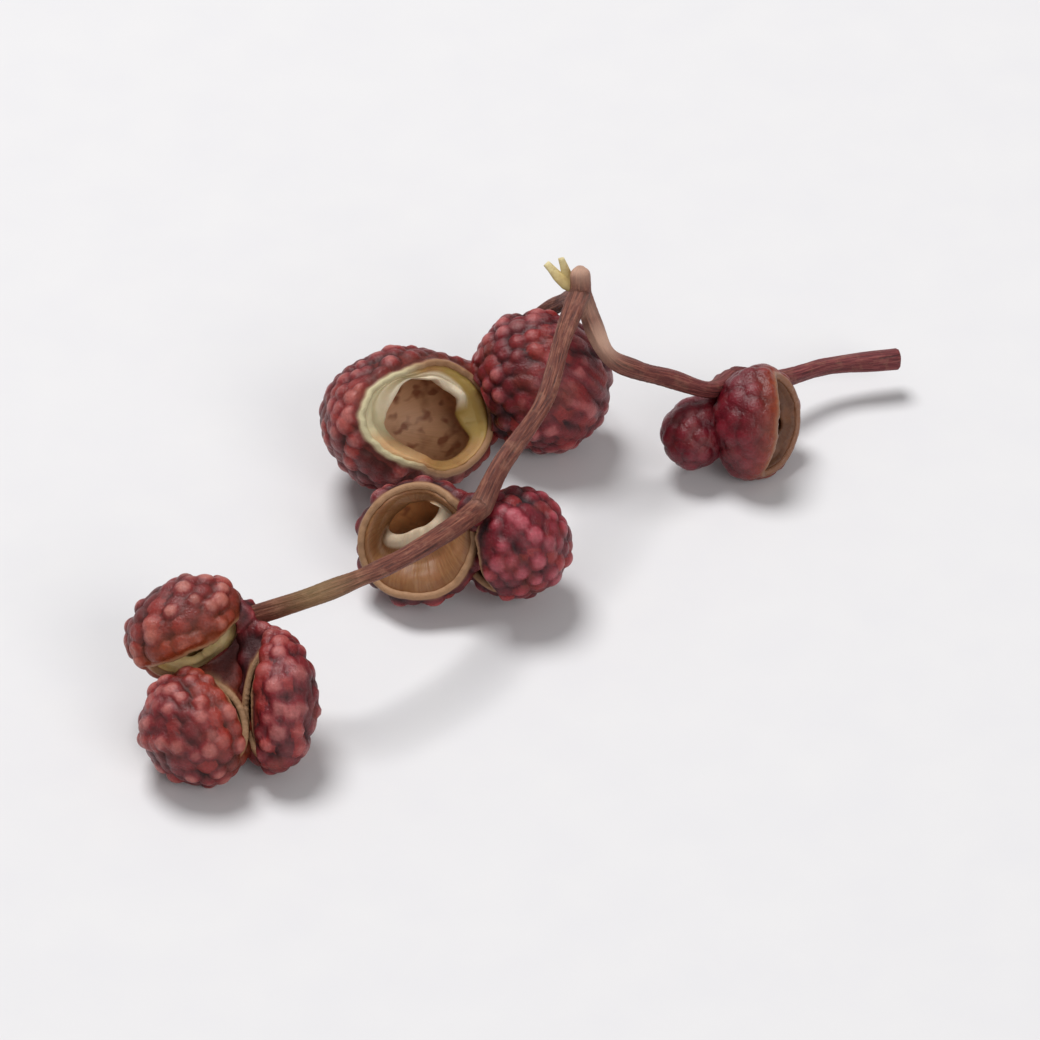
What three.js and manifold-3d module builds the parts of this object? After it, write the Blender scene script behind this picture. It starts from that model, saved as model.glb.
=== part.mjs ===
// A sprig of dried Sichuan pepper, lying on a table as it was picked.
// A thin brown stalk forks twice and carries four fruits. Each fruit is two or three husks grown together
// at the stalk's end. A husk is a small warty red ball that has dried and split along its seam. In the
// widest ones the tan inner lining shows: it has come away from the wall and folds in over the hollow.
//
// Millimetres, +Z up, the table at Z = 0, +X to the right and +Y away from the viewer.
import * as THREE from "three";
import { ConvexHull } from "three/addons/math/ConvexHull.js";
import Module from "manifold-3d";

const wasm = await Module();
wasm.setup();

// Driving dimensions.
const HUSK_WALL = 0.45;
const LIP_WALL = 0.24; // the wall thins towards the lip
const LINING_GAP = 0.06; // air between the husk and its dried lining
const LINING_WALL = 0.18;
const LINING_EDGE = 0.36; // the least width of the lining's fold
const WART_SPACING = 0.66; // between neighbouring warts, a little more than life
const WART_HEIGHT = 0.17;
const RIM_COUNT = 24; // vertices round a lip and round a lining
const BOWL = [0.3, 0.62, 0.88]; // where the rings of vertices lie between a husk's back and its lip
const STALK_RADIUS = 0.31;
const STALK_RIDGE = 0.04; // dried ribs that run along the stalk
const SEAT_GAP = 0.06; // between a stalk's end and the husks that it carries
const SEAT_RADIUS = 0.72; // the small knot in which the husks of a fruit meet
const SHIFT = new THREE.Vector3(0, 5.11, 0); // brings the origin under the middle of the sprig

// The stalk's forks and ends, before the shift.
const PICKED_END = [13.05, 5.75, 1.35];
const RIGHT_FORK = [7.3, 3.1, 2.6];
const TOP_FORK = [2.05, 2.75, 6.6];
const MIDDLE_FORK = [-1.35, -5.75, 4.2];
const KNOB = [2.02, 2.9, 7.5];

// Where the husks of each fruit meet.
const UPPER_SEAT = [-1.3, 3.65, 1.75];
const MIDDLE_SEAT = [-1.45, -5.2, 3.6];
const LEFT_SEAT = [-9.1, -10.55, 3.5];
const RIGHT_SEAT = [7.05, 2.7, 2.3];

// Each husk: the middle of the ball, the seat that it grew from, the way that its mouth faces, the way that
// its seam runs, half its size across the valves, along the seam and in depth, and half the mouth's angle
// across and along. flare bends the lips outwards.
const HUSKS = {
  upper_open: {
    centre: [-3.8, 1.05, 2.4],
    seat: UPPER_SEAT,
    mouth: [0.68, -0.52, 0.52],
    seam: [0, 0.64, 0.77],
    half: [3.05, 2.35, 2.45],
    gape: [66, 57],
    flare: 0.25,
    seed: 11,
  },
  upper_closed: {
    centre: [0.7, 3.05, 2.5],
    seat: UPPER_SEAT,
    mouth: [0.45, 0.75, 0.35],
    seam: [-0.6, 0, 0.8],
    half: [2.2, 2.35, 2.2],
    gape: [13, 62],
    flare: 0,
    seed: 23,
  },
  middle_open: {
    centre: [-3.35, -5.15, 2.25],
    seat: MIDDLE_SEAT,
    mouth: [-0.22, -0.75, 0.62],
    seam: [0.9, 0, 0.44],
    half: [1.9, 2.1, 1.85],
    gape: [80, 80],
    flare: 0.1,
    seed: 37,
  },
  middle_red: {
    centre: [-0.2, -5.3, 2.3],
    seat: MIDDLE_SEAT,
    mouth: [-0.93, -0.28, 0.2],
    seam: [0, 0.64, 0.77],
    half: [1.75, 1.72, 1.78],
    gape: [26, 68],
    flare: 0.1,
    seed: 41,
  },
  left_top: {
    centre: [-10.85, -10.85, 3.35],
    seat: LEFT_SEAT,
    mouth: [0.45, -0.8, -0.27],
    seam: [0.93, 0.15, 0.2],
    half: [1.55, 1.9, 1.55],
    gape: [32, 68],
    flare: 0.15,
    seed: 53,
  },
  left_front: {
    centre: [-10.5, -13.9, 1.7],
    seat: LEFT_SEAT,
    mouth: [0.75, 0.2, 0.55],
    seam: [-0.3, 0.64, 0.5],
    half: [1.65, 1.8, 1.66],
    gape: [18, 62],
    flare: 0,
    seed: 61,
  },
  left_side: {
    centre: [-7.9, -13.15, 2.1],
    seat: LEFT_SEAT,
    mouth: [-0.8, -0.2, 0.3],
    seam: [-0.32, 0.61, 0.72],
    half: [1.42, 2.1, 1.12],
    gape: [17, 62],
    flare: 0,
    seed: 79,
  },
  right_open: {
    centre: [8.1, 1.6, 1.87],
    seat: RIGHT_SEAT,
    mouth: [0.88, -0.36, 0.12],
    seam: [-0.12, 0.64, 0.77],
    half: [1.65, 1.9, 1.45],
    gape: [40, 70],
    flare: 0.2,
    seed: 83,
  },
  right_small: {
    centre: [5.95, 1.45, 1.55],
    seat: RIGHT_SEAT,
    mouth: [-0.6, 0.3, -0.5],
    seam: [0.3, 1, 0.2],
    half: [1.05, 1.3, 1.05],
    gape: [16, 60],
    flare: 0,
    seed: 97,
  },
};

// Which husks make up each fruit. The first is the one whose lining shows. hole is the middle of the
// opening that the lining leaves, across and along the seam, reach is half its length and width, and lean
// turns it. sink is how deep its edge lies, curl how far that edge rises again and bead how thick it is.
// rolled is where it curls so: the middle of that stretch and half its length, in degrees.
const FRUITS = {
  upper_fruit: {
    husks: ["upper_open", "upper_closed"],
    lining: {
      hole: [0.3, -0.1],
      reach: [2.2, 1.3],
      lean: -30,
      wave: 0.05,
      sink: 0.3,
      curl: 0.55,
      bead: 0.22,
      rolled: [85, 65],
    },
  },
  middle_fruit: {
    husks: ["middle_open", "middle_red"],
    lining: {
      hole: [-0.82, 0.18],
      reach: [1.1, 0.56],
      lean: 98,
      wave: 0.06,
      sink: 0.4,
      curl: 0.4,
      bead: 0.16,
      rolled: [15, 100],
    },
  },
  left_fruit: {
    husks: ["left_top", "left_front", "left_side"],
    lining: {
      hole: [0.1, 0],
      reach: [1.15, 0.42],
      lean: 90,
      wave: 0.1,
      sink: 0.2,
      curl: 0.1,
      bead: 0.1,
      rolled: [0, 170],
    },
  },
  right_fruit: {
    husks: ["right_open", "right_small"],
    lining: {
      hole: [0.1, 0],
      reach: [1.2, 0.52],
      lean: 90,
      wave: 0.1,
      sink: 0.3,
      curl: 0.15,
      bead: 0.12,
      rolled: [180, 30],
    },
  },
};

const degrees = (angle) => THREE.MathUtils.degToRad(angle);
const vector = (p) => new THREE.Vector3(...p);
const fullTurn = 2 * Math.PI;

// A repeatable number from -0.5 to 0.5 for draw n of a husk.
function draw(seed, n) {
  const x = Math.sin(seed * 12.9898 + n * 78.233) * 43758.5453;
  return x - Math.floor(x) - 0.5;
}

// A husk's own axes: x across the valves, y along the seam, z out of the mouth.
function axesOf(husk) {
  const z = vector(husk.mouth).normalize();
  const y = vector(husk.seam);
  y.addScaledVector(z, -y.dot(z)).normalize();
  const x = new THREE.Vector3().crossVectors(y, z);
  return { x, y, z };
}

function toWorld(husk, p) {
  const axes = axesOf(husk);
  return vector(husk.centre)
    .addScaledVector(axes.x, p.x)
    .addScaledVector(axes.y, p.y)
    .addScaledVector(axes.z, p.z);
}

// Where the lip lies: its angle from the back of the husk in direction turn. The mouth is a lens with
// slightly waved edges.
function lipTilt(husk, turn) {
  const [across, along] = husk.gape.map(degrees);
  const lens = 1.75;
  const reach =
    Math.abs(Math.cos(turn) / across) ** lens + Math.abs(Math.sin(turn) / along) ** lens;
  const wave = 0.045 * Math.sin(3 * turn + husk.seed) + 0.03 * Math.sin(5 * turn - husk.seed);
  return Math.PI - reach ** (-1 / lens) * (1 + wave);
}

// Spreads directions evenly along the lip.
function lipTurn(husk, even) {
  const [across, along] = husk.gape;
  const turn = Math.atan2(along * Math.sin(even), across * Math.cos(even));
  return turn < -1e-9 ? turn + fullTurn : turn;
}

const direction = (tilt, turn) =>
  new THREE.Vector3(
    Math.sin(tilt) * Math.cos(turn),
    Math.sin(tilt) * Math.sin(turn),
    -Math.cos(tilt),
  );
const tiltOf = (d) => Math.acos(THREE.MathUtils.clamp(-d.z, -1, 1));
const turnOf = (d) => Math.atan2(d.y, d.x);

// A point of the smooth ball, inset from its outer face.
function ballPoint(husk, d, inset) {
  const p = d.clone().multiply(vector(husk.half));
  const lip = lipTilt(husk, turnOf(d));
  const nearLip = THREE.MathUtils.smoothstep(tiltOf(d), 0.55 * lip, lip);
  p.x += husk.flare * nearLip * d.x;
  return p.multiplyScalar(1 - inset / p.length());
}

// How near the point is to the neck in which the husk is drawn out to its seat, from 0 to 1, and the pull.
function neckAt(husk, p) {
  const axes = axesOf(husk);
  const out = vector(husk.seat).sub(vector(husk.centre));
  const seat = new THREE.Vector3(out.dot(axes.x), out.dot(axes.y), out.dot(axes.z));
  const reach = Math.max(0, seat.length() - p.length() + 0.12);
  const facing = seat.clone().normalize().dot(p.clone().normalize());
  const share = Math.exp(-(1 - facing) / 0.07);
  return { share, pull: seat.normalize().multiplyScalar(reach * share) };
}

// The triangles that join neighbours among points on the unit sphere, each as three indices.
function netOf(points) {
  const index = new Map(points.map((p, i) => [p, i]));
  return new ConvexHull().setFromPoints(points).faces.map((face) => {
    const edge = face.getEdge(0);
    return [edge, edge.next, edge.next.next].map((e) => index.get(e.head().point));
  });
}

// Joins two rings of vertices, each a list of { id, turn }.
function zipRings(lower, upper, triangles) {
  const at = (ring, i) => ({
    id: ring[i % ring.length].id,
    turn: ring[i % ring.length].turn + fullTurn * Math.floor(i / ring.length),
  });
  let i = 0;
  let j = 0;
  while (i < lower.length || j < upper.length) {
    const a = at(lower, i);
    const a2 = at(lower, i + 1);
    const b = at(upper, j);
    const b2 = at(upper, j + 1);
    const lowerNext = Math.abs(a2.turn - b.turn) <= Math.abs(b2.turn - a.turn);
    if (j >= upper.length || (i < lower.length && lowerNext)) {
      triangles.push(a.id, a2.id, b.id);
      i += 1;
    } else {
      triangles.push(a.id, b2.id, b.id);
      j += 1;
    }
  }
}

function fanTo(poleId, ring, triangles, outwards) {
  for (let i = 0; i < ring.length; i += 1) {
    const a = ring[i].id;
    const b = ring[(i + 1) % ring.length].id;
    triangles.push(poleId, ...(outwards ? [b, a] : [a, b]));
  }
}

// A ring of vertices. With a husk given, they crowd towards the two ends of its seam as the lip does.
function ringOf(count, put, husk = null) {
  return Array.from({ length: count }, (_, n) => {
    const even = (n / count) * fullTurn;
    const turn = husk ? lipTurn(husk, even) : even;
    return { id: put(turn), turn };
  });
}

function solidFrom(points, triangles) {
  const solid = new wasm.Manifold(
    new wasm.Mesh({
      numProp: 3,
      vertProperties: new Float32Array(points.flatMap((p) => [p.x, p.y, p.z])),
      triVerts: new Uint32Array(triangles),
    }),
  );
  if (solid.volume() > 0) return solid;
  const turned = [];
  for (let i = 0; i < triangles.length; i += 3) {
    turned.push(triangles[i], triangles[i + 2], triangles[i + 1]);
  }
  return solidFrom(points, turned);
}

// Directions spread evenly over the ball, a little loosened, and kept clear of the mouth.
function wartDirections(husk) {
  const radius = (husk.half[0] + husk.half[1] + husk.half[2]) / 3;
  const count = Math.round((4 * Math.PI * radius ** 2) / (WART_SPACING ** 2 * 0.87));
  const golden = Math.PI * (3 - Math.sqrt(5));
  const loose = (0.3 * WART_SPACING) / radius;
  const clear = (0.55 * WART_SPACING) / radius;
  return Array.from({ length: count }, (_, n) => {
    const z = 1 - (2 * n + 1) / count;
    const flat = Math.sqrt(1 - z * z);
    const d = new THREE.Vector3(flat * Math.cos(golden * n), flat * Math.sin(golden * n), z);
    d.x += loose * draw(husk.seed, 3 * n);
    d.y += loose * draw(husk.seed, 3 * n + 1);
    d.z += loose * draw(husk.seed, 3 * n + 2);
    return d.normalize();
  }).filter((d) => tiltOf(d) < lipTilt(husk, turnOf(d)) - clear);
}

// The husk's wall, from its back, share 0, to its lip, share 1.
const wallAt = (share) =>
  THREE.MathUtils.lerp(HUSK_WALL, LIP_WALL, THREE.MathUtils.smoothstep(share, 0.5, 1));

// The warty husk itself, a bowl whose wall ends in a rounded lip.
function huskSolid(husk) {
  const lipCount = RIM_COUNT;
  const lip = [];
  const putLip = (turn) => lip.push(direction(lipTilt(husk, turn), turn)) - 1;
  const outerLip = ringOf(lipCount, putLip, husk);
  const tops = wartDirections(husk);
  const inMouth = (corners, all) => {
    if (corners.some((i) => i >= lipCount)) return false;
    const middle = corners
      .reduce((sum, i) => sum.add(all[i]), new THREE.Vector3())
      .normalize();
    return tiltOf(middle) > lipTilt(husk, turnOf(middle));
  };
  const first = [...lip, ...tops];
  const valleys = netOf(first)
    .filter((corners) => corners.filter((i) => i < lipCount).length < 2)
    .map((corners) => {
      const [a, b, c] = corners.map((i) => first[i]);
      const normal = b.clone().sub(a).cross(c.clone().sub(a)).normalize();
      return normal.multiplyScalar(Math.sign(normal.dot(a)));
    });
  const all = [...first, ...valleys];

  const points = [];
  const triangles = [];
  all.forEach((d, i) => {
    const isTop = i >= lipCount && i < first.length;
    const p = ballPoint(husk, d, i < lipCount ? 0.03 : 0);
    const { share, pull } = neckAt(husk, p);
    const height = isTop ? WART_HEIGHT * (1 + 0.7 * draw(husk.seed, i + 4000)) * (1 - share) : 0;
    p.multiplyScalar(1 + height / p.length());
    points.push(toWorld(husk, i < lipCount ? p : p.add(pull)));
  });
  for (const corners of netOf(all)) {
    if (!inMouth(corners, all)) triangles.push(...corners);
  }

  const put = (tilt, turn, inset) =>
    points.push(toWorld(husk, ballPoint(husk, direction(tilt, turn), inset))) - 1;
  const round = (0.45 * LIP_WALL) / husk.half[2];
  const lipRing = (lift, inset) =>
    ringOf(lipCount, (turn) => put(lipTilt(husk, turn) + lift, turn, inset), husk);
  const topLip = lipRing(round, LIP_WALL / 2);
  const innerLip = lipRing(0, LIP_WALL);
  zipRings(outerLip, topLip, triangles);
  zipRings(topLip, innerLip, triangles);
  let previous = innerLip;
  for (const share of [...BOWL].reverse()) {
    const wall = (turn) => put(share * lipTilt(husk, turn), turn, wallAt(share));
    const ring = ringOf(lipCount, wall, husk);
    zipRings(previous, ring, triangles);
    previous = ring;
  }
  fanTo(put(0, 0, HUSK_WALL), previous, triangles, false);
  return solidFrom(points, triangles);
}

// The open husk's whole room, kept free of the husks beside it.
function roomSolid(husk) {
  const points = [];
  const triangles = [];
  const put = (tilt, turn) =>
    points.push(toWorld(husk, ballPoint(husk, direction(tilt, turn), LIP_WALL * 0.6))) - 1;
  const rings = Array.from({ length: 9 }, (_, k) =>
    ringOf(20, (turn) => put(((k + 1) / 10) * Math.PI, turn)),
  );
  fanTo(put(0, 0), rings[0], triangles, true);
  for (let k = 1; k < rings.length; k += 1) zipRings(rings[k - 1], rings[k], triangles);
  fanTo(put(Math.PI, 0), rings[rings.length - 1], triangles, false);
  return solidFrom(points, triangles);
}

// Whether the lining's edge is rolled at this turn, from 0 to 1.
function rolledAt(lining, turn) {
  const [middle, half] = lining.rolled.map(degrees);
  const edge = Math.cos(half);
  return THREE.MathUtils.smoothstep(Math.cos(turn - middle), edge - 0.3, edge + 0.3);
}

// A point of the lining's outer face. share runs from 0 at the back of the husk to 1 at the lip and on to 2
// at the edge of the opening that the lining leaves.
function liningPoint(husk, lining, share, turn) {
  const tilt = lipTilt(husk, turn);
  const inside = Math.min(share, 1);
  const lip = ballPoint(husk, direction(inside * tilt, turn), wallAt(inside) + LINING_GAP);
  if (share <= 1) return lip;
  const leaned = turn - degrees(lining.lean);
  const [length, width] = lining.reach;
  const wave = 1 + lining.wave * Math.sin(3 * turn + husk.seed);
  const reach = wave / Math.hypot(Math.cos(leaned) / length, Math.sin(leaned) / width);
  const hole = new THREE.Vector3(
    lining.hole[0] + reach * Math.cos(turn),
    lining.hole[1] + reach * Math.sin(turn),
    lip.z,
  );
  const own = turnOf(hole);
  const rim = ballPoint(husk, direction(lipTilt(husk, own), own), LIP_WALL);
  const room = (Math.hypot(rim.x, rim.y) - LINING_EDGE) / Math.hypot(hole.x, hole.y);
  hole.x *= Math.min(1, room);
  hole.y *= Math.min(1, room);
  const across = share - 1;
  const fold = Math.min(1, lip.distanceTo(hole));
  const p = lip.clone().lerp(hole, across);
  p.z += fold * 0.16 * Math.sin(Math.PI * Math.min(1, across * 2));
  p.z -= fold * lining.sink * across;
  const rolled = rolledAt(lining, turn);
  p.z += fold * rolled * lining.curl * THREE.MathUtils.smoothstep(across, 0.6, 1);
  p.z -= fold * (1 - rolled) * 0.15 * across ** 2;
  return p;
}

// A point of the lining's inner face. In the bowl it lies LINING_WALL inside the outer one, and past the bend
// at the lip it lies as far below it.
function liningInside(husk, lining, share, turn) {
  const lip = liningPoint(husk, lining, 1, turn);
  if (share < 1) {
    const bent = 1 - LINING_WALL / (lipTilt(husk, turn) * lip.length());
    const d = direction(share * bent * lipTilt(husk, turn), turn);
    return ballPoint(husk, d, wallAt(share) + LINING_GAP + LINING_WALL);
  }
  const width = lip.distanceTo(liningPoint(husk, lining, 2, turn));
  const bend = Math.min(0.7, LINING_WALL / width);
  const p = liningPoint(husk, lining, share + bend * (2 - share), turn);
  const bead = lining.bead * rolledAt(lining, turn);
  p.z -= LINING_WALL + bead * THREE.MathUtils.smoothstep(share, 1.5, 2);
  return p;
}

// The lining: a thin bowl that folds in over the husk's mouth and ends in a rolled edge.
function liningSolid(name, lining) {
  const husk = HUSKS[name];
  const shares = [...BOWL, 1, 1.2, 1.6, 2];
  const points = [];
  const triangles = [];
  const put = (p) => points.push(toWorld(husk, p)) - 1;
  const ringsOf = (face) =>
    shares.map((share) => ringOf(RIM_COUNT, (turn) => put(face(husk, lining, share, turn)), husk));
  const outer = ringsOf(liningPoint);
  const inner = ringsOf(liningInside);
  const last = shares.length - 1;
  fanTo(put(liningPoint(husk, lining, 0, 0)), outer[0], triangles, true);
  for (let k = 1; k <= last; k += 1) zipRings(outer[k - 1], outer[k], triangles);
  zipRings(outer[last], inner[last], triangles);
  for (let k = last; k > 0; k -= 1) zipRings(inner[k], inner[k - 1], triangles);
  fanTo(put(liningInside(husk, lining, 0, 0)), inner[0], triangles, false);
  return solidFrom(points, triangles);
}

// One stalk along a smooth curve. radii holds one radius for each point of the route.
function stalk(route, radii, extra = 0) {
  const curve = new THREE.CatmullRomCurve3(route.map(vector), false, "centripetal");
  const steps = Math.max(3, Math.round(curve.getLength() / 0.9));
  const frames = curve.computeFrenetFrames(steps, false);
  const points = [];
  const triangles = [];
  const rings = [];
  for (let k = 0; k <= steps; k += 1) {
    const along = (k / steps) * (radii.length - 1);
    const before = Math.min(radii.length - 2, Math.floor(along));
    const radius = THREE.MathUtils.lerp(radii[before], radii[before + 1], along - before);
    const middle = curve.getPointAt(k / steps);
    const ring = ringOf(9, (turn) => {
      const reach = radius + extra + STALK_RIDGE * Math.cos(3 * turn + 0.35 * k);
      const p = middle.clone().addScaledVector(frames.normals[k], reach * Math.cos(turn));
      return points.push(p.addScaledVector(frames.binormals[k], reach * Math.sin(turn))) - 1;
    });
    if (rings.length) zipRings(rings[rings.length - 1], ring, triangles);
    rings.push(ring);
  }
  const first = curve.getPoint(0).addScaledVector(frames.tangents[0], -0.12 - extra);
  const last = curve.getPoint(1).addScaledVector(frames.tangents[steps], 0.12 + extra);
  fanTo(points.push(first) - 1, rings[0], triangles, true);
  fanTo(points.push(last) - 1, rings[rings.length - 1], triangles, false);
  return solidFrom(points, triangles);
}

// The whole stalk, or with extra the space that the husks leave for it.
function stalkSolid(extra = 0) {
  const r = STALK_RADIUS;
  const routes = [
    [PICKED_END, [10.6, 5.2, 1.45], [8.9, 4.1, 1.75], RIGHT_FORK],
    [RIGHT_FORK, [6.5, 2.0, 3.0], [5.1, 1.8, 3.65], [3.95, 1.45, 4.3], [3.0, 1.4, 4.95], TOP_FORK],
    [TOP_FORK, [1.45, 0.7, 6.25], [0.75, -2.0, 5.6], [-0.75, -4.7, 5.0], MIDDLE_FORK],
    [MIDDLE_FORK, [-2.4, -7.5, 4.65], [-4.1, -9.25, 4.8], [-6.3, -10.7, 4.8], LEFT_SEAT],
    [TOP_FORK, KNOB],
    [TOP_FORK, [1.95, 3.7, 5.75], [1.5, 5.0, 4.4], [0.8, 5.8, 3.3], [-0.3, 5.6, 2.3], UPPER_SEAT],
    [MIDDLE_FORK, MIDDLE_SEAT],
    [RIGHT_FORK, RIGHT_SEAT],
  ];
  const swell = [
    [1.25, 0.95, 1, 1.3],
    [1.3, 0.95, 0.95, 0.95, 0.95, 1.1],
    [1.2, 0.95, 0.95, 1, 1.2],
    [1.2, 1.05, 0.95, 1, 1.1],
    [1.1, 1.1],
    [1.2, 0.9, 0.9, 0.9, 0.95, 1.1],
    [1.3, 1.1],
    [1.2, 1.1],
  ];
  return routes
    .map((route, i) => stalk(route, swell[i].map((s) => s * r), extra))
    .reduce((whole, part) => whole.add(part));
}

// The small scale leaf that stays at the top fork, forked at its tip.
function scaleLeaf() {
  const r = STALK_RADIUS;
  const base = [1.85, 2.8, 6.75];
  const long = stalk([base, [1.35, 3.0, 7.1], [0.9, 3.2, 7.45]], [r, r * 0.95, r * 0.6]);
  const short = stalk([base, [1.6, 3.15, 7.15], [1.4, 3.3, 7.6]], [r * 0.9, r * 0.8, r * 0.6]);
  return long.add(short);
}

// The knot that joins the husks of a fruit.
function seatSolid(seat) {
  const ball = new THREE.IcosahedronGeometry(SEAT_RADIUS, 1).getAttribute("position");
  const corners = new Map();
  for (let i = 0; i < ball.count; i += 1) {
    const p = new THREE.Vector3().fromBufferAttribute(ball, i);
    corners.set(p.toArray().map((x) => x.toFixed(4)).join(), p.add(vector(seat)));
  }
  const points = [...corners.values()];
  return solidFrom(points, netOf(points).flat());
}

// What lies below the table's surface is taken off, which leaves the small flat spots that it rests on.
function belowTable() {
  const corner = (n) => 30 * (n ? 1 : -1);
  const points = Array.from(
    { length: 8 },
    (_, n) => new THREE.Vector3(corner(n & 1), corner(n & 2), n & 4 ? 0 : -10),
  );
  return solidFrom(points, netOf(points).flat());
}

const largestBody = (solid) =>
  solid.decompose().reduce((most, body) => (body.volume() > most.volume() ? body : most));

function meshOf(name, solid, material) {
  const { vertProperties, triVerts, numProp, numVert } = solid.getMesh();
  const positions = new Float32Array(numVert * 3);
  for (let i = 0; i < numVert; i += 1) {
    positions.set(vertProperties.subarray(i * numProp, i * numProp + 3), i * 3);
  }
  const geometry = new THREE.BufferGeometry();
  geometry.setAttribute("position", new THREE.BufferAttribute(positions, 3));
  geometry.setIndex(new THREE.BufferAttribute(triVerts, 1));
  geometry.computeVertexNormals();
  const mesh = new THREE.Mesh(geometry, material);
  mesh.name = name;
  return mesh;
}

const dried = (color, roughness) =>
  new THREE.MeshStandardMaterial({ color, roughness, metalness: 0 });

const sprig = new THREE.Group();
sprig.position.copy(SHIFT);

const stalkSpace = stalkSolid(SEAT_GAP);
const table = belowTable();
sprig.add(meshOf("stalk", stalkSolid().add(scaleLeaf()), dried(0x7a4c3f, 0.75)));
for (const [name, fruit] of Object.entries(FRUITS)) {
  const [open, ...others] = fruit.husks.map((husk) => huskSolid(HUSKS[husk]));
  const room = roomSolid(HUSKS[fruit.husks[0]]);
  others.push(seatSolid(HUSKS[fruit.husks[0]].seat));
  const husk = largestBody(
    others
      .reduce((whole, other) => whole.add(other.subtract(room)), open)
      .subtract(stalkSpace)
      .subtract(table),
  );
  const lining = liningSolid(fruit.husks[0], fruit.lining);
  sprig.add(meshOf(`${name}_husk`, husk, dried(0x8e3f43, 0.62)));
  sprig.add(meshOf(`${name}_lining`, lining, dried(0xb98a55, 0.5)));
}

export default sprig;
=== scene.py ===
# %% [markdown]
# # A sprig of dried Sichuan pepper
# Sichuan pepper is the dried fruit of a small thorny tree. Each fruit is a few husks grown together at the
# end of a thin stalk. As a husk dries it splits along its seam, its seed drops out, and the tan inner
# lining comes away from the warty red skin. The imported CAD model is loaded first. It fixes where everything
# is, and the pieces made here stand in for its plain solids with finer ones of the same form.

# %% Load the frame
import math

import bpy
import numpy as np
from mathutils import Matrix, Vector


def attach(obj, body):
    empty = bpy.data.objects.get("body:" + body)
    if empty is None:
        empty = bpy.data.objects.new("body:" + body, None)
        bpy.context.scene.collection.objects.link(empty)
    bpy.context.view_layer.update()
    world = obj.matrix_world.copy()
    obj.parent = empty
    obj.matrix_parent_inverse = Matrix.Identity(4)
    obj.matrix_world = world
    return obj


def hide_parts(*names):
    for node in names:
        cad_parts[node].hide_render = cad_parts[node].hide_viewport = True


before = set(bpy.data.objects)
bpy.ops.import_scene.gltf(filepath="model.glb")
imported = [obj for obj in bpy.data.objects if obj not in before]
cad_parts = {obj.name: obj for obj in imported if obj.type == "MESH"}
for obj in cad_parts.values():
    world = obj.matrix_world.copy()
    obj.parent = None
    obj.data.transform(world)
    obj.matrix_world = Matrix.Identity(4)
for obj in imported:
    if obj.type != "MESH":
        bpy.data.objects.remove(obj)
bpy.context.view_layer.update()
print("CAD nodes:", sorted(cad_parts))

# %% [markdown]
# ## Units and colour
# Shapes are worked out in millimetres, as the CAD model has them, and turned to metres when a mesh is made.
# Colours are written as they look on a screen (sRGB), and one function turns them into the linear values
# that light is added up in.

# %% Millimetres and colours
MM = 0.001
SHIFT = np.array([0.0, 5.11, 0.0])  # the sprig's forks and husks are written before this shift
FULL_TURN = 2 * np.pi


def linear(code):
    """A screen colour such as "#8E3F43" as linear red, green, blue and alpha."""
    parts = [int(code[i : i + 2], 16) / 255 for i in (1, 3, 5)]
    return [c / 12.92 if c <= 0.04045 else ((c + 0.055) / 1.055) ** 2.4 for c in parts] + [1.0]


def smoothstep(x, low, high):
    t = np.clip((x - low) / (high - low), 0, 1)
    return t * t * (3 - 2 * t)


def unit(v):
    return v / np.linalg.norm(v, axis=-1, keepdims=True)


print("the dark red #8E3F43 as light:", [round(c, 3) for c in linear("#8E3F43")])

# %% [markdown]
# ## The husks
# A husk is a ball about 4 mm across. It could be sculpted by hand, but a rule is better here: every husk is
# the same kind of ball with its own size, mouth and place. The mouth is a lens-shaped split along the seam,
# narrow in a husk that has only cracked and wide in one that has sprung open.

# %% Husk sizes and places
UPPER_SEAT = (-1.3, 3.65, 1.75)
MIDDLE_SEAT = (-1.45, -5.2, 3.6)
LEFT_SEAT = (-9.1, -10.55, 3.5)
RIGHT_SEAT = (7.05, 2.7, 2.3)


def husk(centre, seat, mouth, seam, half, gape, flare, seed, red, rough=1.0, amber=0.0, green=0.0):
    """One husk, in millimetres. half is half its size across the valves, along the seam and in depth, gape
    half the mouth's angle across and along in degrees, and flare how far its lip turns out. The rest are from
    0 to 1: red is how deep its colour is, rough how high its warts are, amber how orange it is near its lip,
    partly its own colour and partly painted light shining through the thin wall, and green how much of the
    unripe green is left on its lip."""
    z = unit(np.array(mouth, float))
    y = np.array(seam, float)
    y = unit(y - y.dot(z) * z)
    return {
        "centre": np.array(centre), "seat": np.array(seat), "axes": np.array([np.cross(y, z), y, z]),
        "half": np.array(half), "gape": np.radians(gape), "flare": flare, "seed": seed,
        "red": red, "rough": rough, "amber": amber, "green": green,
    }


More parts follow.
